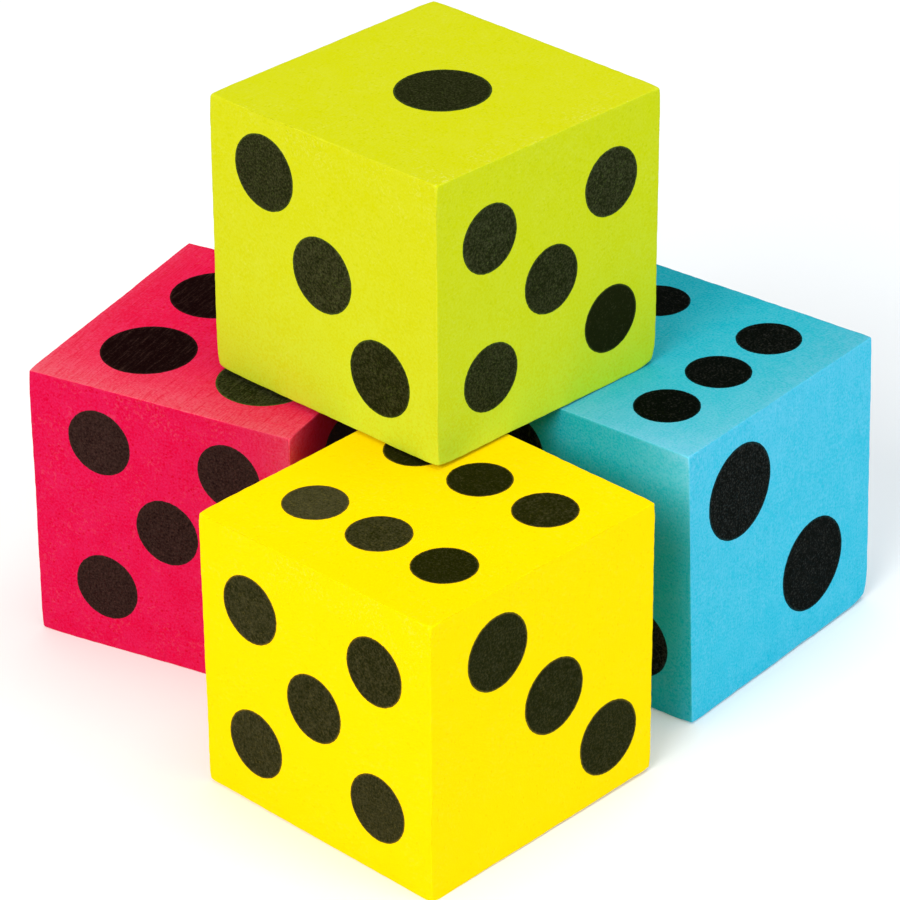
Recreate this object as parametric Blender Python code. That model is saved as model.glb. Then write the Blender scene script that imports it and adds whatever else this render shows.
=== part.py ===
"""Set of four yard dice: solid foam blocks with pips printed on every face.

Three dice stand on the ground and the fourth rests across their tops. A die is one foam block
and six prints of ink, one for each face, so a print holds all the pips of its face. The pips lie
in shallow pockets of their block, and links as thin as a hair join them under the surface, which
makes each print one piece. Units are metres, +Z is up, and the origin is on the ground at the
middle of the set.
"""

import math

import bmesh
import bpy
from mathutils import Matrix, Vector

# The block.
EDGE = 0.089
EDGE_ROUND = 0.0012
ROUND_STEPS = 3
HALF = EDGE / 2

# The prints. Heights are measured outward from the face of the block.
GAP = 0.0003
PRINT_TOP = -0.0001
PRINT_BASE = -0.0010
POCKET_BASE = PRINT_BASE - GAP
CUTTER_TOP = 0.002
LINK_TOP = -0.0007
LINK_BASE = -0.0009
LINK_WIDTH = 0.0002
LINK_END = 0.6
PIP_SIDES = 16

# For each value, as fractions of the edge: the pips' diameter, and how far the outer pips lie
# from the middle of the stencil along its long and its short direction.
STENCILS = {
    1: (0.310, 0.000, 0.000),
    2: (0.330, 0.236, 0.211),
    3: (0.259, 0.276, 0.252),
    4: (0.319, 0.220, 0.210),
    5: (0.234, 0.273, 0.247),
    6: (0.210, 0.284, 0.228),
}

# The pips of each value, in steps of those distances, as a chain whose links cross nothing.
PATTERNS = {
    1: [(0, 0)],
    2: [(-1, 1), (1, -1)],
    3: [(-1, 1), (0, 0), (1, -1)],
    4: [(-1, -1), (-1, 1), (1, 1), (1, -1)],
    5: [(-1, -1), (-1, 1), (0, 0), (1, -1), (1, 1)],
    6: [(-1, -1), (0, -1), (1, -1), (1, 1), (0, 1), (-1, 1)],
}
VALUE_NAMES = {1: "one", 2: "two", 3: "three", 4: "four", 5: "five", 6: "six"}

# Each face of a block: the direction to its right and its upward direction, seen from outside.
FACES = {
    "top": ((1, 0, 0), (0, 1, 0)),
    "front": ((1, 0, 0), (0, 0, 1)),
    "right": ((0, 1, 0), (0, 0, 1)),
    "back": ((-1, 0, 0), (0, 0, 1)),
    "left": ((0, -1, 0), (0, 0, 1)),
    "bottom": ((1, 0, 0), (0, -1, 0)),
}
UPRIGHT, TURNED = False, True

# Each die: its axis from the yellow die's, its level, its turn in degrees and its foam's colour,
# then its prints as value, way round, and shift right and up as fractions of the edge.
DICE = {
    "yellow": {
        "place": (0.0, 0.0),
        "level": 0,
        "turn": 0.0,
        "colour": (1.0, 0.87, 0.0),
        "prints": {
            "top": (6, UPRIGHT, 0.007, 0.009),
            "front": (5, UPRIGHT, -0.011, -0.018),
            "right": (3, TURNED, 0.045, -0.002),
            "back": (2, TURNED, 0.012, 0.006),
            "left": (4, UPRIGHT, -0.014, 0.010),
            "bottom": (1, UPRIGHT, 0.008, -0.012),
        },
    },
    "red": {
        "place": (-0.1115, 0.0337),
        "level": 0,
        "turn": 15.2,
        "colour": (0.85, 0.01, 0.08),
        "prints": {
            "top": (4, UPRIGHT, -0.007, 0.007),
            "front": (5, TURNED, 0.013, 0.015),
            "right": (6, TURNED, 0.040, 0.014),
            "back": (2, UPRIGHT, -0.010, 0.012),
            "left": (1, UPRIGHT, 0.014, -0.008),
            "bottom": (3, TURNED, 0.006, 0.010),
        },
    },
    "blue": {
        "place": (-0.0126, 0.1104),
        "level": 0,
        "turn": 5.4,
        "colour": (0.05, 0.54, 0.75),
        "prints": {
            "top": (6, TURNED, 0.000, 0.009),
            "front": (3, TURNED, 0.024, 0.017),
            "right": (2, TURNED, -0.022, 0.018),
            "back": (4, UPRIGHT, 0.010, -0.014),
            "left": (5, UPRIGHT, -0.016, 0.008),
            "bottom": (1, UPRIGHT, -0.006, 0.012),
        },
    },
    "lime": {
        "place": (-0.0549, 0.0616),
        "level": 1,
        "turn": -0.6,
        "colour": (0.75, 0.78, 0.01),
        "prints": {
            "top": (1, UPRIGHT, 0.018, 0.018),
            "front": (3, TURNED, -0.016, 0.020),
            "right": (5, UPRIGHT, 0.012, -0.004),
            "back": (4, UPRIGHT, 0.012, 0.014),
            "left": (2, UPRIGHT, -0.012, 0.016),
            "bottom": (6, TURNED, 0.008, -0.010),
        },
    },
}
INK_COLOUR = (0.025, 0.022, 0.014)
FOAM_ROUGHNESS = 0.85
INK_ROUGHNESS = 0.75


def clear_scene():
    for obj in list(bpy.data.objects):
        bpy.data.objects.remove(obj, do_unlink=True)


def make_material(name, colour, roughness):
    material = bpy.data.materials.new(name)
    material.use_nodes = True
    shader = material.node_tree.nodes["Principled BSDF"]
    shader.inputs["Base Color"].default_value = (*colour, 1.0)
    shader.inputs["Roughness"].default_value = roughness
    shader.inputs["Metallic"].default_value = 0.0
    material.diffuse_color = (*colour, 1.0)
    return material


def add_object(name, bm, parent):
    """An object made from a bmesh, which it frees."""
    mesh = bpy.data.meshes.new(name)
    bm.to_mesh(mesh)
    bm.free()
    obj = bpy.data.objects.new(name, mesh)
    bpy.context.scene.collection.objects.link(obj)
    obj.parent = parent
    return obj


def add_helper(name, bm, parent):
    """A shape that cuts or joins others and isn't itself a piece."""
    helper = add_object(name, bm, parent)
    helper.hide_render = True
    helper.display_type = "WIRE"
    return helper


def reach(turn):
    """Half the width, along X or Y, of a rounded block that is turned about Z."""
    angle = math.radians(turn)
    return (HALF - EDGE_ROUND) * (abs(math.cos(angle)) + abs(math.sin(angle))) + EDGE_ROUND


def middle_of_set():
    """The middle of the set's box on the ground, from the yellow die's axis."""
    middle = []
    for axis in (0, 1):
        lows = [die["place"][axis] - reach(die["turn"]) for die in DICE.values()]
        highs = [die["place"][axis] + reach(die["turn"]) for die in DICE.values()]
        middle.append((min(lows) + max(highs)) / 2)
    return middle


def face_frame(face):
    """Matrix from a face's own frame (right, up, outward; origin at its middle) to the block's."""
    right, up = (Vector(direction) for direction in FACES[face])
    outward = right.cross(up)
    turn = Matrix((right, up, outward)).transposed().to_4x4()
    return Matrix.Translation(outward * HALF) @ turn


def pip_layout(layout):
    """The middles of a print's pips in the face's frame, in their chain's order, and their radius."""
    value, turned, shift_right, shift_up = layout
    diameter, long_step, short_step = STENCILS[value]
    centres = []
    for along, across in PATTERNS[value]:
        right, up = along * long_step, across * short_step
        if turned:
            right, up = across * short_step, along * long_step
        centres.append(Vector((right + shift_right, up + shift_up)) * EDGE)
    return centres, diameter * EDGE / 2


def add_prism(bm, outline, low, high, frame):
    """Adds the closed solid between two heights over a counter-clockwise outline."""
    lower = [bm.verts.new(frame @ Vector((*point, low))) for point in outline]
    upper = [bm.verts.new(frame @ Vector((*point, high))) for point in outline]
    bm.faces.new(reversed(lower))
    bm.faces.new(upper)
    for index in range(len(outline)):
        after = (index + 1) % len(outline)
        bm.faces.new((lower[index], lower[after], upper[after], upper[index]))


def add_pips(bm, centres, radius, low, high, frame):
    """Adds a disc at each centre."""
    angles = [math.tau * side / PIP_SIDES for side in range(PIP_SIDES)]
    circle = [Vector((math.cos(angle), math.sin(angle))) * radius for angle in angles]
    for centre in centres:
        add_prism(bm, [centre + point for point in circle], low, high, frame)


def add_links(bm, centres, radius, width, low, high, frame):
    """Adds a bar from inside each disc of the chain to inside the next one."""
    for first, second in zip(centres, centres[1:]):
        along = (second - first).normalized()
        across = Vector((-along.y, along.x)) * (width / 2)
        start = first + along * radius * LINK_END
        end = second - along * radius * LINK_END
        outline = [start - across, end - across, end + across, start + across]
        add_prism(bm, outline, low, high, frame)


def join_links(obj, bm, parent):
    """Joins the bars in a bmesh to an object's discs, which makes them one body."""
    links = add_helper(f"{obj.name}_links", bm, parent)
    links.location = obj.location
    links.rotation_euler = obj.rotation_euler
    union = obj.modifiers.new("links", "BOOLEAN")
    union.operation = "UNION"
    union.object = links


def make_block(die_name, die, parent):
    """The foam block, with rounded edges and shallow pockets for its prints."""
    bm = bmesh.new()
    bmesh.ops.create_cube(bm, size=EDGE)
    block = add_object(f"{die_name}_foam_block", bm, parent)
    block.data.materials.append(make_material(f"{die_name}_foam", die["colour"], FOAM_ROUGHNESS))

    edges = block.modifiers.new("rounded_edges", "BEVEL")
    edges.width = EDGE_ROUND
    edges.segments = ROUND_STEPS
    edges.limit_method = "ANGLE"

    pockets = bmesh.new()
    tunnels = bmesh.new()
    tunnel_width = LINK_WIDTH + 2 * GAP
    for face, layout in die["prints"].items():
        centres, radius = pip_layout(layout)
        frame = face_frame(face)
        add_pips(pockets, centres, radius + GAP, POCKET_BASE, CUTTER_TOP, frame)
        add_links(tunnels, centres, radius, tunnel_width, LINK_BASE - GAP, LINK_TOP + GAP, frame)
    cutter = add_helper(f"{die_name}_pockets", pockets, parent)
    join_links(cutter, tunnels, parent)

    cut = block.modifiers.new("print_pockets", "BOOLEAN")
    cut.operation = "DIFFERENCE"
    cut.object = cutter


def make_print(die_name, face, layout, parent):
    """The ink of one face: its pips, and the links that join them."""
    centres, radius = pip_layout(layout)
    name = f"{die_name}_print_{VALUE_NAMES[layout[0]]}"
    flat = Matrix.Identity(4)
    pips = bmesh.new()
    add_pips(pips, centres, radius, PRINT_BASE, PRINT_TOP, flat)
    ink = add_object(name, pips, parent)
    ink.data.materials.append(make_material(name, INK_COLOUR, INK_ROUGHNESS))
    frame = face_frame(face)
    ink.location = frame.to_translation()
    ink.rotation_euler = frame.to_euler()
    if len(centres) > 1:
        links = bmesh.new()
        add_links(links, centres, radius, LINK_WIDTH, LINK_BASE, LINK_TOP, flat)
        join_links(ink, links, parent)


def make_die(die_name, die, middle):
    """One die, parented to an empty at its middle, through which the axis of its travel runs."""
    centre = bpy.data.objects.new(f"{die_name}_centre", None)
    bpy.context.scene.collection.objects.link(centre)
    height = HALF + die["level"] * (EDGE + GAP)
    centre.location = (die["place"][0] - middle[0], die["place"][1] - middle[1], height)
    centre.rotation_euler = (0.0, 0.0, math.radians(die["turn"]))
    make_block(die_name, die, centre)
    for face, layout in die["prints"].items():
        make_print(die_name, face, layout, centre)


def main():
    clear_scene()
    middle = middle_of_set()
    for die_name, die in DICE.items():
        make_die(die_name, die, middle)


main()
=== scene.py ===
"""Looks of a set of four foam yard dice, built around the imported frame.

Each die gets two kinds of piece: one block of foam, with softened edges, worn corners and the
slight waviness of cut foam, and one print of ink for each face, whose pips lie on the foam's
surface as thin films. Both take their place and size from the frame's own nodes. Units are metres.
"""

import math

import bpy
import numpy as np
from mathutils import Matrix, Vector


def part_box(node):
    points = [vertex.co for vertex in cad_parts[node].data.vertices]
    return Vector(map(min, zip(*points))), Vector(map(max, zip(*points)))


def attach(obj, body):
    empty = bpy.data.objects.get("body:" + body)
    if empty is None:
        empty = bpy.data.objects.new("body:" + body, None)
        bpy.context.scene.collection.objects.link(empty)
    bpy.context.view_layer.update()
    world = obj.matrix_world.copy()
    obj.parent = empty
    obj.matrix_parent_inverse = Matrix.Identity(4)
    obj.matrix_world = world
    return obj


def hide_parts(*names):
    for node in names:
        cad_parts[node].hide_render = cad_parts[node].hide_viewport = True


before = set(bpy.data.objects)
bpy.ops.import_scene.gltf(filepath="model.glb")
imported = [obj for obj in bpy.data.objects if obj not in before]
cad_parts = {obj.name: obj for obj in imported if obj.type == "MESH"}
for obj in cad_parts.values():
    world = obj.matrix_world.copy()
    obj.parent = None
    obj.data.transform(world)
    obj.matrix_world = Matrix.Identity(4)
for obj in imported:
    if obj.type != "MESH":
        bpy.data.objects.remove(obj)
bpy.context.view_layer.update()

MM = 0.001
DICE = ("yellow", "red", "blue", "lime")
VALUES = ("one", "two", "three", "four", "five", "six")
DIE_SEEDS = {"yellow": 11, "red": 23, "blue": 37, "lime": 41}

# Each face of a block: the direction to its right and its upward direction, seen from outside.
FACES = {
    "top": ((1, 0, 0), (0, 1, 0)),
    "front": ((1, 0, 0), (0, 0, 1)),
    "right": ((0, 1, 0), (0, 0, 1)),
    "back": ((-1, 0, 0), (0, 0, 1)),
    "left": ((0, -1, 0), (0, 0, 1)),
    "bottom": ((1, 0, 0), (0, -1, 0)),
}
FACE_NAMES = list(FACES)
CUBE_CORNERS = [(x, y, z) for x in (-1, 1) for y in (-1, 1) for z in (-1, 1)]


# ---------------------------------------------------------------------------------------------
# Places, from the frame

# A block's right side is its largest face whose direction is at least this much along X.
LEAST_ALONG_X = 0.9

# The upper rims of a print's discs lie within TOP_BAND of its highest point, and the points of two
# discs are further apart than PIP_GAP.
TOP_BAND = 0.05 * MM
PIP_GAP = 6 * MM
POINT_DIGITS = 6
ROW_DIGITS = 4


def face_axes(face):
    """A face's right, up and outward directions in its die's own frame, as rows."""
    right, up = (np.array(direction, float) for direction in FACES[face])
    return np.array((right, up, np.cross(right, up)))


def die_frame(die):
    """The matrix from a die's own frame, with its origin at the block's middle, to the world's."""
    low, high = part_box(f"{die}_foam_block")
    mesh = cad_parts[f"{die}_foam_block"].data
    sides = [face for face in mesh.polygons if face.normal.x > LEAST_ALONG_X]
    normal = max(sides, key=lambda face: face.area).normal
    turn = math.atan2(normal.y, normal.x)
    return Matrix.Translation((low + high) / 2) @ Matrix.Rotation(turn, 4, "Z")


def die_half(die):
    """Half the block's edge: its height is the edge, whichever way it is turned."""
    low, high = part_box(f"{die}_foam_block")
    return (high.z - low.z) / 2


def node_points(node, to_die):
    """The different points of a CAD node, in the die's own frame."""
    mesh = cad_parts[node].data
    points = np.zeros(len(mesh.vertices) * 3, np.float32)
    mesh.vertices.foreach_get("co", points)
    matrix = np.array(to_die)
    points = points.reshape(-1, 3) @ matrix[:3, :3].T + matrix[:3, 3]
    return np.unique(np.round(points, POINT_DIGITS), axis=0)


def face_of(points):
    """The face that a print lies on: the one whose outward direction its points reach furthest."""
    return max(FACES, key=lambda face: (points @ face_axes(face)[2]).min())


def rings_of(points, reach):
    """Groups of points, in which each point is nearer than reach to another of its group."""
    groups = []
    for point in points:
        near = [group for group in groups if min(math.dist(point, other) for other in group) < reach]
        groups = [group for group in groups if group not in near]
        groups.append([tuple(point)] + [other for group in near for other in group])
    return groups


def pips_of(node, die):
    """The face of a print, and the middle and radius of each of its pips, row by row."""
    points = node_points(node, die_frame(die).inverted())
    face = face_of(points)
    right, up, outward = face_axes(face)
    heights = points @ outward
    tops = points[heights > heights.max() - TOP_BAND]
    flat = np.stack((tops @ right, tops @ up), axis=1)
    pips = []
    for ring in rings_of(flat, PIP_GAP):
        middle = np.mean(ring, axis=0)
        pips.append((middle, max(math.dist(middle, point) for point in ring)))
    return face, sorted(pips, key=lambda pip: tuple(np.round(pip[0][::-1], ROW_DIGITS)))


# ---------------------------------------------------------------------------------------------
# The foam's surface

# How the foam departs from a perfect block: the rounding of its edges and corners and how far from
# a corner its rounding reaches, long shallow waves, and the fraying of the edges. The fraying and
# the paler edge colour, partly painted highlight and partly rubbed foam, reach about EDGE_WEAR from
# an edge.
EDGE_ROUND = {"yellow": 0.16 * MM, "red": 0.40 * MM, "blue": 0.22 * MM, "lime": 0.18 * MM}
EDGE_ROUND_SPREAD = 0.3
EDGE_ROUND_LENGTH = 25 * MM
LEAST_ROUND = 0.12 * MM
CORNER_ROUND = 0.9 * MM
CORNER_ROUND_SPREAD = (0.7, 1.25)
CORNER_REACH = 1.6 * MM
WAVE_DEPTH = 0.10 * MM
WAVE_LENGTH = 30 * MM
WAVE_COUNT = 10
WAVE_PITCHES = (0.7, 1.5)
EDGE_FRAY = 0.10 * MM
EDGE_FRAY_LENGTH = 5 * MM
EDGE_FRAY_COUNT = 16
EDGE_WEAR = 0.45 * MM

# Corners that are rounder than the rest, by their signs along the die's own axes.
WORN_CORNERS = {
    "yellow": {},
    "red": {},
    "blue": {(1, 1, -1): 2.8 * MM},
    "lime": {(1, 1, -1): 2.4 * MM, (-1, -1, -1): 1.7 * MM},
}

# How far corners of the hand-cut blocks stand from a square block's, in mm along the die's axes.
# The corners that aren't listed, which the photograph doesn't show, are a square block's.
CORNER_SHIFTS = {
    "yellow": {
        (-1, -1, 1): (-0.3, -0.2, 0.1),
        (-1, 1, 1): (-0.3, 1.1, 0.5),
        (1, 1, 1): (0.5, 0.7, 0.2),
        (1, -1, 1): (0.5, 0.3, -0.2),
        (-1, -1, -1): (-0.7, 0.0, 0.6),
        (1, -1, -1): (0.1, -0.8, 0.0),
        (1, 1, -1): (-0.7, 0.4, 1.1),
    },
    "red": {
        (-1, -1, 1): (0.1, -0.2, -0.4),
        (-1, 1, 1): (0.2, 0.5, 0.6),
        (1, -1, 1): (0.0, -0.4, -0.6),
        (-1, -1, -1): (-0.6, -0.4, 0.0),
        (1, -1, -1): (0.0, -0.4, 0.0),
    },
    "blue": {
        (-1, -1, 1): (0.0, 0.7, 0.3),
        (-1, 1, 1): (-0.1, 0.8, 0.2),
        (1, 1, 1): (-0.2, 0.8, 0.7),
        (1, -1, 1): (-0.7, 0.0, 0.4),
        (-1, -1, -1): (0.0, -1.0, 0.1),
        (1, -1, -1): (0.6, 0.7, 0.3),
        (1, 1, -1): (0.6, 1.0, 0.8),
    },
    "lime": {
        (-1, -1, 1): (-0.5, -0.7, -0.2),
        (-1, 1, 1): (0.1, -0.3, -0.7),
        (1, 1, 1): (1.1, 0.8, -0.4),
        (1, -1, 1): (0.3, 0.6, 0.4),
        (-1, -1, -1): (-1.5, -1.2, 0.6),
        (1, -1, -1): (-0.7, 0.1, 1.0),
        (1, 1, -1): (0.3, -0.3, 0.15),
    },
}


def waves(points, length, seed, count=WAVE_COUNT):
    """A smooth random field of about unit size over points, with waves of about this length."""
    random = np.random.default_rng(seed)
    directions = random.normal(size=(count, points.shape[1]))
    directions /= np.linalg.norm(directions, axis=1)[:, None]
    pitch = random.uniform(*WAVE_PITCHES, count) * math.tau / length
    phases = random.uniform(0, math.tau, count)
    return np.sin(points @ (directions * pitch[:, None]).T + phases).sum(1) * math.sqrt(2 / count)


def sinking(points, length, seed, count=WAVE_COUNT):
    """A smooth random field from 0 to 1."""
    return 0.5 + 0.5 * np.tanh(waves(points, length, seed, count))


def edge_nearness(points, half):
    """How near points of a cube's surface are to its nearest edge: 1 on it, and 0 far from it."""
    distance = half - np.sort(np.abs(points), axis=1)[:, 1]
    return np.exp(-((distance / EDGE_WEAR) ** 2))


def corner_radii(points, die, half):
    """The rounding at each point: small along the edges and larger by the corners."""
    random = np.random.default_rng(DIE_SEEDS[die])
    unevenness = waves(points, EDGE_ROUND_LENGTH, DIE_SEEDS[die] + 1)
    radii = EDGE_ROUND[die] * (1 + EDGE_ROUND_SPREAD * unevenness)
    for signs in CUBE_CORNERS:
        usual = CORNER_ROUND * random.uniform(*CORNER_ROUND_SPREAD)
        radius = WORN_CORNERS[die].get(signs, usual)
        away = np.linalg.norm(points - half * np.array(signs), axis=1)
        near = np.exp(-((away / (CORNER_REACH + radius)) ** 2))
        radii = radii + (radius - EDGE_ROUND[die]) * near
    return np.clip(radii, LEAST_ROUND, None)


def corner_shift(points, die, half):
    """The shift of each point that moves the corners to where they stand, blended between them."""
    shift = np.zeros_like(points)
    for signs, offset in CORNER_SHIFTS[die].items():
        share = np.prod(0.5 + 0.5 * points * np.array(signs) / half, axis=1)
        shift += share[:, None] * np.array(offset) * MM
    return shift


def foam_surface(points, die, half):
    """Where the points of a cube's surface lie on the real block."""
    radii = corner_radii(points, die, half)[:, None]
    core = np.clip(points, radii - half, half - radii)
    outward = points - core
    outward /= np.linalg.norm(outward, axis=1)[:, None]
    seed = DIE_SEEDS[die]
    sunk = WAVE_DEPTH * sinking(points, WAVE_LENGTH, seed + 2)
    fray = EDGE_FRAY * sinking(points, EDGE_FRAY_LENGTH, seed + 3, EDGE_FRAY_COUNT)
    fray *= edge_nearness(points, half)
    surface = core + outward * (radii - sunk[:, None] - fray[:, None])
    return surface + corner_shift(points, die, half)


# ---------------------------------------------------------------------------------------------
# Pieces

# How far apart the grain's patterns on two faces are.
GRAIN_STEP = 0.31


def add_attribute(mesh, name, values, domain="POINT"):
    """A map of numbers on the mesh, for its material to read."""
    attribute = mesh.attributes.new(name, "FLOAT", domain)
    attribute.data.foreach_set("value", np.asarray(values, np.float32))


def add_piece(name, points, faces, die, material):
    """An object in its die's own frame that rides with the die."""
    mesh = bpy.data.meshes.new(name)
    mesh.from_pydata([tuple(point) for point in points], [], faces)
    mesh.validate()
    mesh.shade_smooth()
    mesh.materials.append(material)
    piece = bpy.data.objects.new(name, mesh)
    bpy.context.scene.collection.objects.link(piece)
    piece.matrix_world = die_frame(die)
    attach(piece, f"{die}_die")
    return piece


def corners_of(mesh, sides):
    """For each corner of a mesh's polygons: its vertex, and the side of the cube it belongs to."""
    sizes = np.zeros(len(mesh.polygons), np.int32)
    vertices = np.zeros(len(mesh.loops), np.int32)
    mesh.polygons.foreach_get("loop_total", sizes)
    mesh.loops.foreach_get("vertex_index", vertices)
    return vertices, np.repeat(sides, sizes)


def grain_map(mesh, points, sides, seed):
    """UVs in metres: across the knife's strokes, and along them, shifted apart for each side."""
    uvs = np.zeros((len(points), 2), np.float32)
    for side, face in enumerate(FACE_NAMES):
        right, up, _outward = face_axes(face)
        here = sides == side
        uvs[here, 0] = points[here] @ right + GRAIN_STEP * (side + seed)
        uvs[here, 1] = points[here] @ up
    mesh.uv_layers.new(name="grain").data.foreach_set("uv", uvs.ravel())


# ---------------------------------------------------------------------------------------------
# The blocks

# The grid of a face: its lines in the middle, and those near an edge by their distance from it.
MIDDLE_LINES = 62
EDGE_BAND = 4.2 * MM
EDGE_LINES = tuple(MM * line for line in (0, 0.12, 0.26, 0.42, 0.62, 0.9, 1.3, 1.9, 2.8))
GRID_DIGITS = 8

# Stretches of a die's faces with painted light (painted sheen and highlight on the red and blue
# dice, painted light bounced from the dice below on the lime), with more flecks, or painted brighter
# or darker as painted light and shade. Each has its face, the direction of the edge or corner that
# it follows, how far it reaches and its strength.
PAINTED_LIGHT = {
    "red": [
        ("top", (0, -1, 0), 13 * MM, 0.95),
        ("top", (-1, 0, 0), 7 * MM, 0.30),
        ("front", (1, 0, 0), 8 * MM, 0.5),
        ("right", (0, -1, 0), 8 * MM, 0.6),
    ],
    "blue": [
        ("top", (0, -1, 0), 16 * MM, 0.80),
        ("top", (1, 0, 0), 16 * MM, 0.60),
        ("front", (1, 0, 1), 13 * MM, 1.25),
        ("right", (0, 0, 1), 120 * MM, 0.50),
    ],
    "lime": [
        ("front", (0, 0, -1), 30 * MM, 0.90),
        ("right", (0, 0, -1), 30 * MM, 0.90),
    ],
}
FLECKS = {
    "yellow": [("front", (0, 0, 1), 12 * MM, 0.55)],
    "red": [("front", (0, 0, 1), 20 * MM, 0.10)],
    "blue": [("right", (0, 0, 1), 60 * MM, 0.3)],
    "lime": [
        ("top", (1, 0, 0), 4 * MM, 1.2),
        ("top", (0, -1, 0), 8 * MM, 0.3),
        ("front", (0, 0, 1), 10 * MM, 0.30),
    ],
}
USUAL_FLECKS = 0.25
# Painted shade and light, added to each face's painted shade: brighter near the red right face's
# front edge, the blue front's upper right corner, the blue top's front right, and the lime's lower
# faces.
PAINTED_SHADE_STRETCHES = {
    "red": [("right", (0, -1, 0), 7 * MM, 1.0)],
    "blue": [("front", (1, 0, 1), 28 * MM, 0.45), ("top", (1, -1, 0), 50 * MM, 0.16)],
    "lime": [("right", (0, 0, -1), 25 * MM, 0.10), ("front", (0, 0, -1), 25 * MM, 0.05)],
}

# Painted light and shade: how bright a face's foam is painted beside its die's other faces, where
# that isn't 1.
FACE_PAINTED_SHADE = {
    ("red", "front"): 0.86,
    ("red", "top"): 1.01,
    ("red", "right"): 0.50,
    ("blue", "top"): 0.82,
    ("blue", "front"): 0.78,
    ("blue", "right"): 0.99,
    ("lime", "top"): 0.99,
    ("lime", "front"): 0.97,
    ("lime", "right"): 0.95,
}

# How clearly the knife's strokes show on each face.
SAW_MARKS = {
    "yellow": {"other": 0.08},
    "red": {"top": 0.72, "other": 0.10},
    "blue": {"top": 0.30, "right": 0.28, "other": 0.12},
    "lime": {"other": 0.10},
}


def stretches(table, die, points, sides, half):
    """The sum of a table's stretches at points that lie on these sides of a die's cube."""
    total = np.zeros(len(points))
    for face, direction, reach, strength in table.get(die, ()):
        edge = np.array(direction, float)
        away = half * np.abs(edge).sum() - points @ edge
        total += (sides == FACE_NAMES.index(face)) * strength * np.exp(-away / reach)
    return total


def saw_marks(die, face):
    """How clearly the strokes show on one face."""
    return SAW_MARKS[die].get(face, SAW_MARKS[die]["other"])


def grid_lines(half):
    """Where the lines of a face's grid are, from one edge to the other."""
    inner = np.linspace(EDGE_BAND - half, half - EDGE_BAND, MIDDLE_LINES)
    outer = half - np.array(EDGE_LINES)
    return np.concatenate((-outer, inner, outer[::-1]))


def sheet_of(face, lines, half):
    """A square grid of points over one face of a cube, and its squares as rows of indices."""
    right, up, outward = face_axes(face)
    across, along = (grid.ravel()[:, None] for grid in np.meshgrid(lines, lines))
    index = np.arange(len(lines) ** 2).reshape(len(lines), len(lines))
    squares = np.stack((index[:-1, :-1], index[:-1, 1:], index[1:, 1:], index[1:, :-1]), axis=-1)
    return across * right + along * up + half * outward, squares.reshape(-1, 4)


def cube_grid(half):
    """A cube's points and squares as one closed mesh, and the side that each square is on."""
    sheets = [sheet_of(face, grid_lines(half), half) for face in FACE_NAMES]
    points = np.concatenate([points for points, _squares in sheets])
    size = len(sheets[0][0])
    squares = [squares + size * side for side, (_points, squares) in enumerate(sheets)]
    sides = np.repeat(np.arange(len(sheets)), len(sheets[0][1]))
    rounded = np.round(points, GRID_DIGITS)
    cube_points, merged = np.unique(rounded, axis=0, return_inverse=True)
    return cube_points, merged.ravel()[np.concatenate(squares)], sides


def mark_block(mesh, die, cube_points, sides, half):
    """The block's own maps, which its material reads."""
    corners, corner_sides = corners_of(mesh, sides)
    corner_points = cube_points[corners]
    grain_map(mesh, corner_points, corner_sides, DIE_SEEDS[die])
    place = (die, corner_points, corner_sides, half)
    face_shades = np.array([FACE_PAINTED_SHADE.get((die, face), 1.0) for face in FACE_NAMES])
    saw = np.array([saw_marks(die, face) for face in FACE_NAMES])
    # edge: nearness to an edge, for the paler edge colour, partly painted highlight and partly
    # rubbed foam
    add_attribute(mesh, "edge", edge_nearness(cube_points, half))
    # painted light: sheen, highlight and bounced light painted into the foam's colour
    add_attribute(mesh, "dust", stretches(PAINTED_LIGHT, *place), "CORNER")
    add_attribute(mesh, "flecks", USUAL_FLECKS + stretches(FLECKS, *place), "CORNER")
    # tone: painted light and shade, each face's painted brightness plus the painted shading
    # stretches
    add_attribute(mesh, "tone", face_shades[corner_sides] + stretches(PAINTED_SHADE_STRETCHES, *place), "CORNER")
    add_attribute(mesh, "saw", saw[sides], "FACE")


def make_block(die, material):
    """The foam block of one die."""
    half = die_half(die)
    cube_points, squares, sides = cube_grid(half)
    surface = foam_surface(cube_points, die, half)
    block = add_piece(f"{die}_foam", surface, squares.tolist(), die, material)
    mark_block(block.data, die, cube_points, sides, half)
    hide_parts(f"{die}_foam_block")


# ---------------------------------------------------------------------------------------------
# The prints

# A pip is a closed film: its upper side stands this much above the foam, and its underside lies
# this deep in it. Its rings are given as shares of its radius.
INK_RISE = 0.045 * MM
INK_DEPTH = 0.18 * MM
INK_SIDES = 96
INK_RINGS = (0.3, 0.55, 0.75, 0.88, 0.95, 0.985, 1.0)

# How a pip's outline wanders, as a sum of waves, and frays from one point to the next.
INK_WANDER = 0.03 * MM
INK_WANDER_WAVES = (2, 3, 4, 5, 7)
INK_FRAY = 0.03 * MM

# How much wider the pips are than the CAD model's, whose discs are polygons.
INK_GROWTH = 1.018
ODD_GROWTH = {("blue", "top"): 1.05}

# How a print sits on its hand-cut block, beside its place on a square one: its shift to the right
# and upward in mm, its turn in degrees and the spread of its pips.
SQUARE_SEAT = (0.0, 0.0, 0.0, 1.0)
SEATING = {
    ("yellow", "top"): (-0.3, 0.55, 0.2, 0.99),
    ("yellow", "front"): (0.2, 0.65, 0.45, 1.0),
    ("yellow", "right"): (0.15, 0.4, 0.15, 1.0),
    ("red", "top"): (1.9, -0.1, -0.7, 1.027),
    ("red", "front"): (0.3, -0.25, 0.0, 1.01),
    ("blue", "top"): (0.5, 0.05, 0.3, 1.0),
    ("blue", "right"): (0.0, 0.5, -0.3, 0.98),
    ("lime", "top"): (0.5, -0.3, 0.0, 1.0),
    ("lime", "front"): (0.4, -0.2, -0.4, 1.006),
    ("lime", "right"): (-0.15, -0.3, 0.1, 1.0),
}

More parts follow.
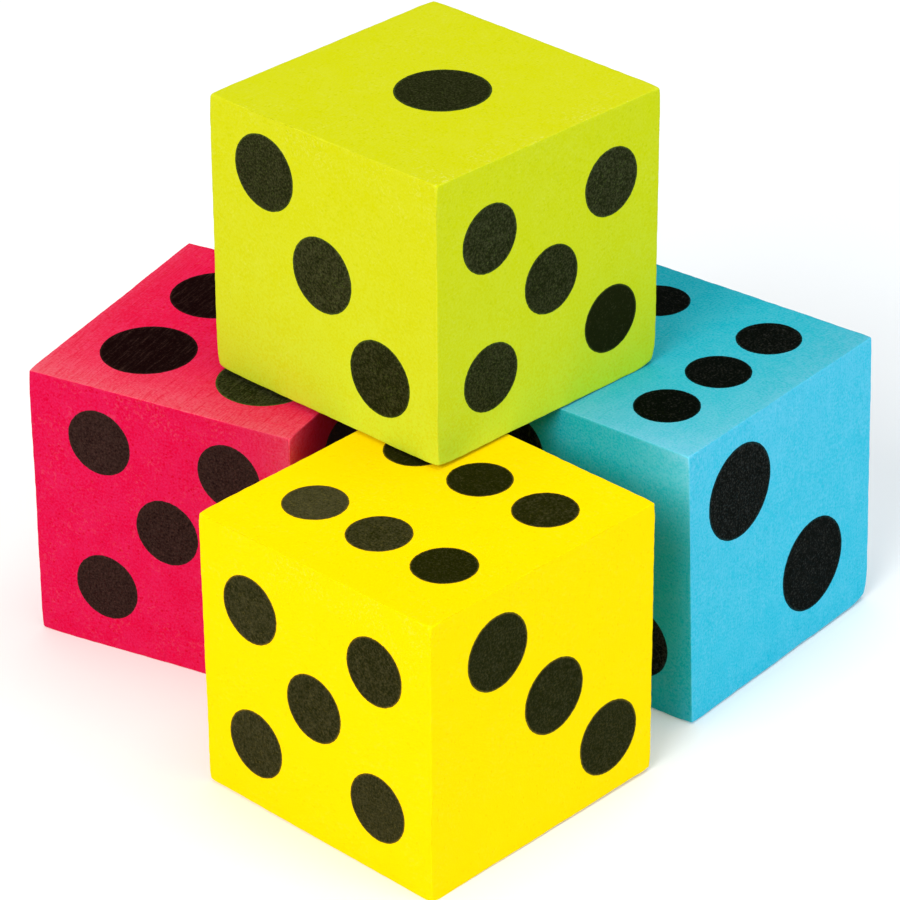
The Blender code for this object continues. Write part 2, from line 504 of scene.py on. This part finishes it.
# How faded each face's print is, from 0 to 1, or below 0 where hardly a spot of it is. Then the
# pips that differ from the rest of their print: in how faded they are, or in their ink's tint,
# which is the one used on another die. A pip is named by its die, its print and its place in it.
USUAL_FADING = 0.38
FADING_SPREAD = 0.08
FADING_SEED = 7
FADING = {
    "yellow": {"top": 0.03, "front": 0.31, "right": 0.12},
    "red": {"top": 0.04, "front": 0.43},
    "blue": {"top": -0.16, "right": 0.02},
    "lime": {"top": 0.12, "front": 0.31, "right": 0.21},
}
ODD_FADING = {
    ("yellow", "six", 0): 0.70,
    ("yellow", "six", 1): 0.36,
    ("red", "four", 1): 0.34,
    ("lime", "three", 0): 0.18,
    ("lime", "five", 1): -0.18,
}
ODD_INKS = {("red", "four", 1): "lime"}


def seated_pips(die, face, pips):
    """The pips as their print sits on the block."""
    shift_right, shift_up, degrees, spread = SEATING.get((die, face), SQUARE_SEAT)
    growth = ODD_GROWTH.get((die, face), INK_GROWTH)
    angle = math.radians(degrees)
    turn = np.array(((math.cos(angle), -math.sin(angle)), (math.sin(angle), math.cos(angle))))
    centre = np.mean([middle for middle, _radius in pips], axis=0)
    shift = centre + np.array((shift_right, shift_up)) * MM
    return [(turn @ (middle - centre) * spread + shift, radius * growth) for middle, radius in pips]


def pip_seed(die, value, index):
    """A seed that is each pip's own."""
    return DIE_SEEDS[die] * 1000 + VALUES.index(value) * 10 + index


def pip_fading(die, face, value, index):
    """How faded a pip is: about as much as its print, unless it is an odd one."""
    random = np.random.default_rng(pip_seed(die, value, index) + FADING_SEED)
    fading = FADING[die].get(face, USUAL_FADING)
    fading += random.uniform(-FADING_SPREAD, FADING_SPREAD)
    return ODD_FADING.get((die, value, index), fading)


def pip_rings(middle, radius, seed):
    """The upper points of a pip's film on the flat face: its middle, then ring by ring."""
    random = np.random.default_rng(seed)
    angles = np.arange(INK_SIDES) * math.tau / INK_SIDES
    circle = np.stack((np.cos(angles), np.sin(angles)), axis=1)
    wander = sum(
        random.normal() * np.cos(order * angles + random.uniform(0, math.tau)) / order
        for order in INK_WANDER_WAVES
    )
    fray = random.normal(size=INK_SIDES)
    outline = radius + INK_WANDER * wander + INK_FRAY * fray
    rings = [middle + circle * (outline * share)[:, None] for share in INK_RINGS]
    return np.concatenate([[middle]] + rings)


def pip_film(middle, radius, seed):
    """A pip's points on the flat face, its underside's last, with their rises and rim shares."""
    upper = pip_rings(middle, radius, seed)
    points = np.concatenate((upper, upper[-INK_SIDES:], [middle]))
    rises = np.repeat((INK_RISE, -INK_DEPTH), (len(upper), INK_SIDES + 1))
    ring_sizes = [1] + [INK_SIDES] * len(INK_RINGS)
    shares = np.repeat((0.0, *INK_RINGS, 1.0, 0.0), ring_sizes + [INK_SIDES, 1])
    return points, rises, shares


def pip_faces(start):
    """The faces of one film whose points start here, in the order of pip_film."""
    faces = []
    rim = start + 1 + (len(INK_RINGS) - 1) * INK_SIDES
    under = rim + INK_SIDES
    for side in range(INK_SIDES):
        after = (side + 1) % INK_SIDES
        faces.append((start, start + 1 + side, start + 1 + after))
        for low in range(start + 1, rim, INK_SIDES):
            high = low + INK_SIDES
            faces.append((low + side, high + side, high + after, low + after))
        faces.append((rim + side, under + side, under + after, rim + after))
        faces.append((under + side, under + INK_SIDES, under + after))
    return faces


def set_odd_inks(mesh, die, value, pip_count, inks):
    """Gives the odd pips of a print, if it has any, the ink of another die."""
    odd = [(die, value, index) in ODD_INKS for index in range(pip_count)]
    if any(odd):
        mesh.materials.append(inks[ODD_INKS[die, value, odd.index(True)]])
        faces = np.repeat(odd, len(mesh.polygons) // pip_count).astype(np.int32)
        mesh.polygons.foreach_set("material_index", faces)


def make_print(die, value, inks):
    """The print of one face: its pips as thin films that follow the foam's height."""
    node = f"{die}_print_{value}"
    face, pips = pips_of(node, die)
    films, faces = [], []
    for index, (middle, radius) in enumerate(seated_pips(die, face, pips)):
        films.append(pip_film(middle, radius, pip_seed(die, value, index)))
        faces += pip_faces(sum(len(points) for points, _rises, _shares in films[:-1]))
    flat, rises, shares = (np.concatenate(parts) for parts in zip(*films))
    fading = [pip_fading(die, face, value, index) for index in range(len(pips))]

    half = die_half(die)
    right, up, outward = face_axes(face)
    cube_points = flat[:, :1] * right + flat[:, 1:] * up + half * outward
    height = (foam_surface(cube_points, die, half) - cube_points) @ outward + rises
    surface = cube_points + height[:, None] * outward
    ink = add_piece(f"{die}_ink_{value}", surface, faces, die, inks[die])
    set_odd_inks(ink.data, die, value, len(pips), inks)
    corners, corner_sides = corners_of(ink.data, np.full(len(faces), FACE_NAMES.index(face)))
    grain_map(ink.data, cube_points[corners], corner_sides, DIE_SEEDS[die])
    add_attribute(ink.data, "rim", shares)
    add_attribute(ink.data, "fading", np.repeat(fading, len(flat) // len(pips)))
    add_attribute(ink.data, "saw", np.full(len(faces), saw_marks(die, face)), "FACE")
    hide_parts(node)


# ---------------------------------------------------------------------------------------------
# Materials


class Graph:
    """A material's nodes, with short calls that add one and wire its inputs."""

    def __init__(self, name):
        self.material = bpy.data.materials.new(name)
        self.material.use_nodes = True
        self.tree = self.material.node_tree
        self.shader = self.tree.nodes["Principled BSDF"]

    def put(self, socket, value):
        """Links or sets an input: a colour of three parts gets its fourth here."""
        if isinstance(value, bpy.types.NodeSocket):
            self.tree.links.new(value, socket)
        elif isinstance(value, (tuple, list)) and len(socket.default_value) == 4 and len(value) == 3:
            socket.default_value = (*value, 1.0)
        else:
            socket.default_value = value

    def node(self, kind, inputs, output=0, **settings):
        node = self.tree.nodes.new(kind)
        for name, value in settings.items():
            setattr(node, name, value)
        for name, value in inputs.items():
            self.put(node.inputs[name], value)
        return node.outputs[output]

    def attribute(self, name):
        return self.node("ShaderNodeAttribute", {}, "Fac", attribute_name=name)

    def place(self):
        return self.node("ShaderNodeTexCoord", {}, "Object")

    def grain(self):
        return self.node("ShaderNodeUVMap", {}, uv_map="grain")

    def scaled(self, vector, scale):
        return self.node("ShaderNodeMapping", {"Vector": vector, "Scale": scale})

    def noise(self, vector, scale, detail=2.0, roughness=0.5):
        inputs = {"Vector": vector, "Scale": scale, "Detail": detail, "Roughness": roughness}
        return self.node("ShaderNodeTexNoise", inputs, "Fac")

    def cells(self, vector, scale):
        return self.node("ShaderNodeTexVoronoi", {"Vector": vector, "Scale": scale}, "Distance")

    def math(self, operation, first, second, clamp=False):
        inputs = {0: first, 1: second}
        return self.node("ShaderNodeMath", inputs, operation=operation, use_clamp=clamp)

    def add(self, first, second):
        return self.math("ADD", first, second)

    def times(self, first, second):
        return self.math("MULTIPLY", first, second)

    def share(self, value, factor=1.0):
        """The value times a factor, kept from 0 to 1."""
        return self.math("MULTIPLY", value, factor, clamp=True)

    def swing(self, noise, size, middle=0.5):
        """How far a noise is from its middle value, times a size."""
        return self.times(self.add(noise, -middle), size)

    def ramp(self, value, low, high, start=0.0, end=1.0):
        """The value's stretch from low to high as a smooth step from start to end."""
        inputs = {"Value": value, "From Min": low, "From Max": high, "To Min": start, "To Max": end}
        return self.node("ShaderNodeMapRange", inputs, interpolation_type="SMOOTHSTEP")

    def mix(self, share, first, second):
        inputs = {0: share, 6: first, 7: second}
        return self.node("ShaderNodeMix", inputs, 2, data_type="RGBA")

    def bright(self, colour, factor):
        """The colour made brighter or darker by a factor."""
        inputs = {"Vector": colour, "Scale": factor}
        return self.node("ShaderNodeVectorMath", inputs, operation="SCALE")

    def finish(self, colour, roughness, height, depth, strength, specular):
        """Gives the shader its colour, its roughness and its relief, and returns the material."""
        inputs = {"Height": height, "Distance": depth, "Strength": strength}
        self.put(self.shader.inputs["Base Color"], colour)
        self.put(self.shader.inputs["Roughness"], roughness)
        self.put(self.shader.inputs["Normal"], self.node("ShaderNodeBump", inputs))
        self.shader.inputs["Specular IOR Level"].default_value = specular
        return self.material


# Sizes of the patterns, as noise scales in waves or cells a metre. A noise is mostly from 0.3 to
# 0.7, so the ramps below cut it between those values.
SPECKLE = 1450.0
CLOUDS = 130.0
PITS, PIT_GROUPS = 560.0, 210.0
FLECK_SPOTS, FLECK_GROUPS = 900.0, 90.0
EDGE_PATCHES = 300.0
INK_GRAIN = 1400.0
INK_BLOTCHES = 320.0

# The knife's strokes, as scales across the grain, along it and out of the face.
THIN_STROKES = (2100.0, 110.0, 1.0)
BROAD_STROKES = (420.0, 9.0, 1.0)
THIN_SHARE = 0.7

# How much each pattern changes the foam's colour.
CLOUD_SHARE = 0.28
PIT_SHARE = 0.85
STROKE_SHARE = 0.85
FLECK_SHARE = 0.8
EDGE_SHARE = 0.5

# How much each pattern changes how faded the ink is, and how much of the foam its specks show.
BLOTCH_FADING = 0.6
GRAIN_FADING = 3.4
STROKE_FADING = 0.9
STROKE_LEVEL = 0.3
LEAST_SPECKS = 0.25
SPECK_SHARE = 0.7
RIM_START, RIM_END = 0.94, 0.995

# The relief's depth and how strongly it shades, and how shiny each material is.
FOAM_RELIEF, FOAM_SHADING = 0.10 * MM, 0.35
INK_RELIEF, INK_SHADING = 0.08 * MM, 0.6
INK_STROKE_RELIEF = 1.4
FOAM_SPECULAR = 0.012
INK_SPECULAR = 0.02

# Each foam: a deeper and a paler tone that cloud it, and the tone of a stroke's shaded side, which
# is painted shade also used in the pits, of edges, paler partly as painted highlight and partly as
# rubbed foam, of stretches of painted light (painted sheen and highlight, and on the lime painted
# light bounced from the dice below) and of flecks.
FOAMS = {
    "yellow": {
        "deep": (1.0, 0.675, 0.0),
        "pale": (1.0, 0.690, 0.0),
        "stroke": (1.0, 0.64, 0.0),
        "edge": (1.0, 0.68, 0.0),
        "painted_light_tint": (1.0, 0.72, 0.05),
        "fleck": (1.0, 0.715, 0.04),
    },
    "red": {
        "deep": (0.750, 0.000, 0.045),
        "pale": (0.775, 0.015, 0.100),
        "stroke": (0.68, 0.000, 0.024),
        "edge": (0.78, 0.06, 0.12),
        "painted_light_tint": (0.765, 0.115, 0.155),
        "fleck": (0.80, 0.12, 0.17),
    },
    "blue": {
        "deep": (0.000, 0.460, 0.575),
        "pale": (0.055, 0.510, 0.620),
        "stroke": (0.000, 0.41, 0.53),
        "edge": (0.11, 0.53, 0.66),
        "painted_light_tint": (0.165, 0.525, 0.695),
        "fleck": (0.22, 0.57, 0.70),
    },
    "lime": {
        "deep": (0.600, 0.612, 0.000),
        "pale": (0.622, 0.632, 0.019),
        "stroke": (0.56, 0.59, 0.000),
        "edge": (0.64, 0.65, 0.03),
        "painted_light_tint": (0.600, 0.740, 0.035),
        "fleck": (0.680, 0.685, 0.095),
    },
}

# Each die's ink: fresh and faded, the tone of the specks where the foam shows through and of the
# pips' rims, how much the rims show, and how mottled the ink is.
INKS = {
    "yellow": {
        "fresh": (0.010, 0.011, 0.000),
        "faded": (0.060, 0.052, 0.021),
        "specks": (0.10, 0.08, 0.02),
        "rim": (0.17, 0.115, 0.010),
        "softness": 1.0,
        "mottling": 0.75,
    },
    "red": {
        "fresh": (0.005, 0.000, 0.000),
        "faded": (0.048, 0.023, 0.018),
        "specks": (0.08, 0.035, 0.03),
        "rim": (0.10, 0.04, 0.03),
        "softness": 0.2,
        "mottling": 0.60,
    },
    "blue": {
        "fresh": (0.000, 0.001, 0.000),
        "faded": (0.024, 0.023, 0.019),
        "specks": (0.035, 0.06, 0.06),
        "rim": (0.010, 0.06, 0.06),
        "softness": 0.5,
        "mottling": 1.7,
    },
    "lime": {
        "fresh": (0.009, 0.011, 0.001),
        "faded": (0.052, 0.053, 0.020),
        "specks": (0.08, 0.11, 0.02),
        "rim": (0.09, 0.13, 0.02),
        "softness": 0.6,
        "mottling": 1.0,
    },
}


def saw_lines(graph):
    """Fine strokes of a knife along the grain, from 0 to 1: broad waves with sparse thin lines."""
    grain = graph.grain()
    thin = graph.ramp(graph.noise(graph.scaled(grain, THIN_STROKES), 1.0, 2.0, 0.6), 0.52, 0.64)
    broad = graph.ramp(graph.noise(graph.scaled(grain, BROAD_STROKES), 1.0), 0.35, 0.65)
    return graph.add(graph.times(thin, THIN_SHARE), graph.times(broad, 1.0 - THIN_SHARE))


def foam_pits(graph, place):
    """Open cells, in groups, from 0 to 1 at their middles."""
    pits = graph.ramp(graph.cells(place, PITS), 0.14, 0.28, 1.0, 0.0)
    return graph.times(pits, graph.ramp(graph.noise(place, PIT_GROUPS), 0.42, 0.56))


def foam_flecks(graph, place):
    """Pale flecks, in groups, where the block's own map has them."""
    flecks = graph.ramp(graph.noise(place, FLECK_SPOTS, 3.0, 0.7), 0.52, 0.66)
    groups = graph.ramp(graph.noise(place, FLECK_GROUPS, 3.0), 0.40, 0.60)
    return graph.times(graph.times(flecks, groups), graph.attribute("flecks"))


def foam_material(die):
    """Closed-cell foam: clouded colour, fine cells, a few pits, knife strokes and paler edges, with
    painted sheen, highlight and shade.
    """
    look = FOAMS[die]
    graph = Graph(f"{die}_foam")
    place = graph.place()
    clouds = graph.noise(place, CLOUDS, 4.0, 0.65)
    speckle = graph.noise(place, SPECKLE, 2.0, 0.7)
    strokes = graph.times(saw_lines(graph), graph.attribute("saw"))
    pits = foam_pits(graph, place)

    tone = graph.add(graph.times(clouds, CLOUD_SHARE), graph.times(speckle, 1.0 - CLOUD_SHARE))
    # Painted light: the stretches of painted sheen, highlight and bounced light, mottled a little.
    dust = graph.times(graph.attribute("dust"), graph.ramp(tone, 0.34, 0.64, 0.45, 1.20))
    flecks = foam_flecks(graph, place)
    # Paler edges: partly painted highlight and partly rubbed foam, in patches.
    patches = graph.ramp(graph.noise(place, EDGE_PATCHES, 3.0), 0.40, 0.65)
    edge_highlight_and_wear = graph.times(graph.attribute("edge"), patches)
    colour = graph.mix(graph.ramp(tone, 0.34, 0.66), look["deep"], look["pale"])
    # Painted shade: the open cells are darkened with the strokes' shaded tone.
    colour = graph.mix(graph.times(pits, PIT_SHARE), colour, look["stroke"])
    colour = graph.mix(graph.share(dust), colour, look["painted_light_tint"])
    colour = graph.mix(graph.times(strokes, STROKE_SHARE), colour, look["stroke"])
    colour = graph.mix(graph.share(flecks, FLECK_SHARE), colour, look["fleck"])
    colour = graph.mix(graph.times(edge_highlight_and_wear, EDGE_SHARE), colour, look["edge"])
    # Painted light and shade: each face made brighter or darker by the 'tone' map.
    colour = graph.bright(colour, graph.attribute("tone"))

    height = graph.add(speckle, graph.times(graph.add(strokes, pits), -1.0))
    roughness = graph.ramp(speckle, 0.2, 0.8, 0.62, 0.8)
    return graph.finish(colour, roughness, height, FOAM_RELIEF, FOAM_SHADING, FOAM_SPECULAR)


def ink_material(die):
    """Matt black ink that lets a little of the foam through where the film is thin."""
    look = INKS[die]
    graph = Graph(f"{die}_ink")
    place = graph.place()
    grain = graph.noise(place, INK_GRAIN, 3.0, 0.75)
    blotches = graph.noise(place, INK_BLOTCHES, 3.0, 0.6)
    saw = graph.attribute("saw")
    strokes = saw_lines(graph)
    print_fading = graph.attribute("fading")

    fading = graph.add(print_fading, graph.swing(blotches, BLOTCH_FADING * look["mottling"]))
    fading = graph.add(fading, graph.swing(grain, GRAIN_FADING * look["mottling"]))
    stroke_fading = graph.times(saw, graph.swing(strokes, STROKE_FADING, STROKE_LEVEL))
    fading = graph.add(fading, stroke_fading)
    specks = graph.ramp(graph.noise(place, SPECKLE, 2.0, 0.75), 0.55, 0.70)
    specks = graph.times(specks, graph.add(print_fading, LEAST_SPECKS))
    rim = graph.ramp(graph.attribute("rim"), RIM_START, RIM_END)
    rim = graph.times(rim, graph.ramp(grain, 0.40, 0.60, 0.5 * look["softness"], look["softness"]))
    colour = graph.mix(graph.share(fading), look["fresh"], look["faded"])
    colour = graph.mix(graph.share(specks, SPECK_SHARE), colour, look["specks"])
    colour = graph.mix(rim, colour, look["rim"])

    height = graph.add(grain, graph.times(graph.times(strokes, saw), INK_STROKE_RELIEF))
    roughness = graph.ramp(grain, 0.2, 0.8, 0.6, 0.8)
    return graph.finish(colour, roughness, height, INK_RELIEF, INK_SHADING, INK_SPECULAR)


# ---------------------------------------------------------------------------------------------
# Stage

# The camera stands at the photograph's angle and looks at a point near the middle of the set.
# Its angles are in degrees.
CAMERA_TARGET = Vector((0.0598, -0.0463, 0.1027))
CAMERA_DISTANCE = 1.3697
CAMERA_AZIMUTH = 44.76
CAMERA_ELEVATION = 29.55
CAMERA_ROLL = -1.06
CAMERA_LENS = 197.35
CAMERA_REACH = 20.0

# Soft boxes: where each stands, its width, its power in watts and its colour.
SOFT_BOXES = {
    "key_box": ((1.0, -4.0, 3.0), 3.0, 190.0, (1.0, 0.985, 0.94)),
    "top_box": ((0.0, 0.4, 4.0), 3.2, 74.0, (1.0, 1.0, 0.98)),
    "right_box": ((3.4, 0.8, 1.3), 2.2, 52.0, (0.55, 0.90, 1.25)),
}
SKY_COLOUR = (1.0, 1.0, 1.0)
SKY_STRENGTH = 0.32

FLOOR_REACH = 6.0
FLOOR_CLOUDS = 9.0
FLOOR_DARK = (0.84, 0.84, 0.84)
FLOOR_PALE = (0.87, 0.87, 0.87)
FLOOR_GLOW = 0.12
FLOOR_GLOW_COLOUR = (1.0, 0.99, 0.98)


def floor_material():
    """Plain pale paper that glows a little, which keeps its shadows light."""
    graph = Graph("floor")
    tone = graph.noise(graph.place(), FLOOR_CLOUDS, 4.0, 0.6)
    graph.put(graph.shader.inputs["Base Color"], graph.mix(tone, FLOOR_DARK, FLOOR_PALE))
    graph.put(graph.shader.inputs["Roughness"], graph.ramp(tone, 0.2, 0.8, 0.8, 0.9))
    graph.put(graph.shader.inputs["Emission Color"], FLOOR_GLOW_COLOUR)
    graph.put(graph.shader.inputs["Emission Strength"], FLOOR_GLOW)
    return graph.material


def make_floor():
    """A wide flat floor for the dice to stand on."""
    mesh = bpy.data.meshes.new("floor")
    corners = [(-1, -1), (1, -1), (1, 1), (-1, 1)]
    mesh.from_pydata([(x * FLOOR_REACH, y * FLOOR_REACH, 0.0) for x, y in corners], [], [range(4)])
    mesh.materials.append(floor_material())
    floor = bpy.data.objects.new("floor", mesh)
    bpy.context.scene.collection.objects.link(floor)


def view_axes():
    """The camera's right, up and backward directions, before its roll."""
    azimuth = math.radians(CAMERA_AZIMUTH)
    elevation = math.radians(CAMERA_ELEVATION)
    right = Vector((math.cos(azimuth), math.sin(azimuth), 0.0))
    level_back = Vector((math.sin(azimuth), -math.cos(azimuth), 0.0))
    back = level_back * math.cos(elevation) + Vector((0, 0, math.sin(elevation)))
    return right, back.cross(right), back


def make_camera():
    """The camera at the photograph's viewing angle."""
    right, up, back = view_axes()
    roll = math.radians(CAMERA_ROLL)
    rolled_right = right * math.cos(roll) + up * math.sin(roll)
    rolled_up = up * math.cos(roll) - right * math.sin(roll)
    turn = Matrix((rolled_right, rolled_up, back)).transposed().to_4x4()
    camera = bpy.data.objects.new("camera", bpy.data.cameras.new("camera"))
    bpy.context.scene.collection.objects.link(camera)
    camera.data.lens = CAMERA_LENS
    camera.data.clip_end = CAMERA_REACH
    camera.matrix_world = Matrix.Translation(CAMERA_TARGET + back * CAMERA_DISTANCE) @ turn
    bpy.context.scene.camera = camera


def make_soft_box(name, place, width, power, colour):
    """A round lamp that faces the dice."""
    light = bpy.data.lights.new(name, "AREA")
    light.shape = "DISK"
    light.size = width
    light.energy = power
    light.color = colour
    box = bpy.data.objects.new(name, light)
    bpy.context.scene.collection.objects.link(box)
    box.location = place
    box.rotation_euler = (Vector(place) - CAMERA_TARGET).to_track_quat("Z", "Y").to_euler()


def make_sky():
    """An even white light from all around."""
    world = bpy.data.worlds.new("studio")
    bpy.context.scene.world = world
    world.use_nodes = True
    background = world.node_tree.nodes["Background"]
    background.inputs["Color"].default_value = (*SKY_COLOUR, 1.0)
    background.inputs["Strength"].default_value = SKY_STRENGTH


def main():
    inks = {die: ink_material(die) for die in DICE}
    for die in DICE:
        make_block(die, foam_material(die))
        for value in VALUES:
            make_print(die, value, inks)
    make_floor()
    for name, soft_box in SOFT_BOXES.items():
        make_soft_box(name, *soft_box)
    make_sky()
    make_camera()
    bpy.context.scene.view_settings.view_transform = "Standard"


main()
